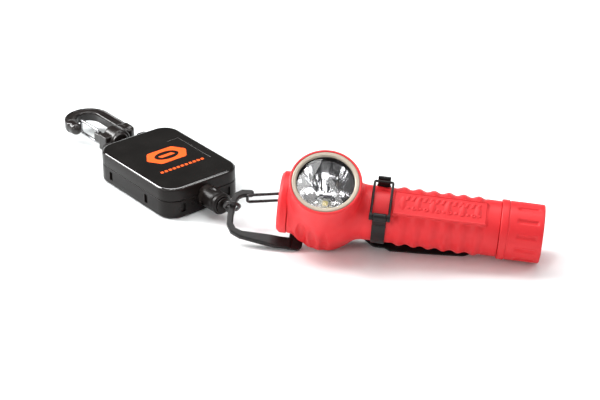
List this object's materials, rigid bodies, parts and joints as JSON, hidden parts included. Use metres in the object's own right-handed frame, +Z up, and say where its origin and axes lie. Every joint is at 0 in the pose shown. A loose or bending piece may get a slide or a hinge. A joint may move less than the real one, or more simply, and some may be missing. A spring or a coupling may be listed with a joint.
{
  "type": "right-angle flashlight with tether reel",
  "caption": "Right-angle flashlight in red polymer with ribbed barrel, strap clip and D hook, joined by a ring to a black retracting tether reel with a swivel snap hook.",
  "frame": {"origin": "middle of the footprint of the whole set, on the table", "axes": "+X runs in plan along the barrel from switch end to tail, +Z up from the table, +Y away from the side the lens is rolled towards"},
  "size_m": [0.2796, 0.1626, 0.0579],
  "materials": {
    "red_polymer": "satin moulded polymer",
    "red_rubber": "soft matt rubber",
    "bezel_metal": "champagne satin",
    "lens_glass": "clear",
    "reflector_metal": "vacuum metallised",
    "led": "clear dome over a yellow chip",
    "board": "solder mask",
    "heat_sink_metal": "turned",
    "switch_plastic": "moulded",
    "contact_brass": "plated",
    "cell_wrap": "printed sleeve, blank",
    "black_rubber": "matt",
    "black_steel": "black oxide, satin",
    "bright_steel": "bright",
    "dark_steel": "black oxide",
    "case_black": "fine texture",
    "cover_black": "gloss",
    "emblem_orange": "printed",
    "spool_nylon": "natural",
    "line_fibre": "braided"
  },
  "bodies": {
    "light": {"housing": "red_polymer", "switch_collar": "red_polymer", "switch_seal": "black_rubber", "switch_module": "switch_plastic", "driver_board": "board", "front_contact": "contact_brass", "bezel_ring": "bezel_metal", "lens": "lens_glass", "lens_gasket": "black_rubber", "reflector": "reflector_metal", "led_emitter": "led", "led_board": "board", "heat_sink": "heat_sink_metal", "battery_tube": "heat_sink_metal", "cell_front": "cell_wrap", "cell_rear": "cell_wrap", "tail_o_ring": "black_rubber", "strap_band": "black_steel", "strap_knuckle": "black_steel", "strap_catch": "black_steel", "clip_saddle": "black_steel", "clip_arm": "black_steel", "d_hook": "black_steel", "clip_rivets": "bright_steel"},
    "power_button": {"button_boot": "red_rubber", "button_plunger": "bright_steel"},
    "tail_carrier": {"tail_contact": "contact_brass", "tail_spring": "bright_steel"},
    "tailcap": {"tailcap": "red_polymer"},
    "bail": {"bail_wire": "black_steel"},
    "hook_gate": {"hook_gate": "black_steel"},
    "tether_ring": {"tether_ring": "dark_steel"},
    "swivel_bead": {"swivel_bead": "case_black"},
    "line_end": {"line_plug": "case_black", "line_out": "line_fibre"},
    "reel": {"lower_case": "case_black", "top_cover": "cover_black", "emblem_plate": "emblem_orange", "nozzle": "case_black", "nozzle_collar": "case_black", "spool_axle": "bright_steel", "case_screws": "bright_steel", "power_spring": "bright_steel", "line_lead": "line_fibre", "hook_bracket": "case_black", "bracket_pin": "bright_steel"},
    "spool": {"spool": "spool_nylon", "spool_flange": "spool_nylon", "wound_line": "line_fibre"},
    "swivel_eye": {"swivel_eye": "case_black"},
    "snap_hook": {"snap_hook": "case_black"},
    "snap_gate": {"snap_gate": "bright_steel"}
  },
  "joints": [
    {"name": "button_press", "type": "slide", "parent": "light", "child": "power_button", "axis": [0.9966, 0, -0.0819], "range_m": [0, 0.0015], "stiffness_N_per_m": 600, "springref_m": -0.002},
    {"name": "tailcap_travel", "type": "slide", "parent": "light", "child": "tail_carrier", "axis": [0.9966, 0, -0.0819], "range_m": [0, 0.00601]},
    {"name": "tailcap_turn", "type": "hinge", "parent": "tail_carrier", "child": "tailcap", "pos_m": [0.12166, -0.0504, 0.0167], "axis": [0.9966, 0, -0.0819], "range_deg": [0, 1440]},
    {"name": "bail_swing", "type": "hinge", "parent": "light", "child": "bail", "pos_m": [0.05548, -0.06755, 0.02945], "axis": [0.9966, 0, -0.0819], "range_deg": [0, 140]},
    {"name": "hook_gate_swing", "type": "hinge", "parent": "light", "child": "hook_gate", "pos_m": [0.0107, -0.02532, 0.01695], "axis": [0.0731, -0.4509, 0.8896], "range_deg": [0, 28], "stiffness_Nm_per_rad": 0.02, "springref_deg": -28.65},
    {"name": "ring_swing", "type": "hinge", "parent": "light", "child": "tether_ring", "pos_m": [-0.025, -0.03549, 0.01473], "axis": [0.0369, 0.8926, 0.4494], "range_deg": [-30, 70]},
    {"name": "bead_swing", "type": "hinge", "parent": "tether_ring", "child": "swivel_bead", "pos_m": [-0.02781, -0.02961, 0.009], "axis": [0.9358, 0.1269, -0.329], "range_deg": [-50, 50]},
    {"name": "line_twist", "type": "hinge", "parent": "swivel_bead", "child": "line_end", "pos_m": [-0.02781, -0.02961, 0.009], "axis": [0.7108, -0.7034, 0], "continuous": true},
    {"name": "line_pull", "type": "slide", "parent": "line_end", "child": "reel", "axis": [-0.7108, 0.7034, 0], "range_m": [0, 0.61], "stiffness_N_per_m": 1, "springref_m": -1.5},
    {"name": "spool_turn", "type": "hinge", "parent": "reel", "child": "spool", "pos_m": [-0.07302, 0.01512, 0.009], "axis": [0, 0, 1], "range_deg": [-2260, 0]},
    {"name": "hook_fold", "type": "hinge", "parent": "reel", "child": "swivel_eye", "pos_m": [-0.09761, 0.03946, 0.009], "axis": [0.7034, 0.7108, 0], "range_deg": [-60, 60]},
    {"name": "hook_swivel", "type": "hinge", "parent": "swivel_eye", "child": "snap_hook", "pos_m": [-0.10358, 0.04537, 0.009], "axis": [0.7108, -0.7034, 0], "continuous": true},
    {"name": "snap_gate_swing", "type": "hinge", "parent": "snap_hook", "child": "snap_gate", "pos_m": [-0.11576, 0.04898, 0.009], "axis": [0, 0, 1], "range_deg": [-25, 0], "stiffness_Nm_per_rad": 0.02, "springref_deg": 28.65}
  ],
  "couplings": [
    {"joint": "tailcap_travel", "follows": "tailcap_turn", "m_per_rad": 0.00023873},
    {"joint": "spool_turn", "follows": "line_pull", "rad_per_m": -64.516}
  ]
}
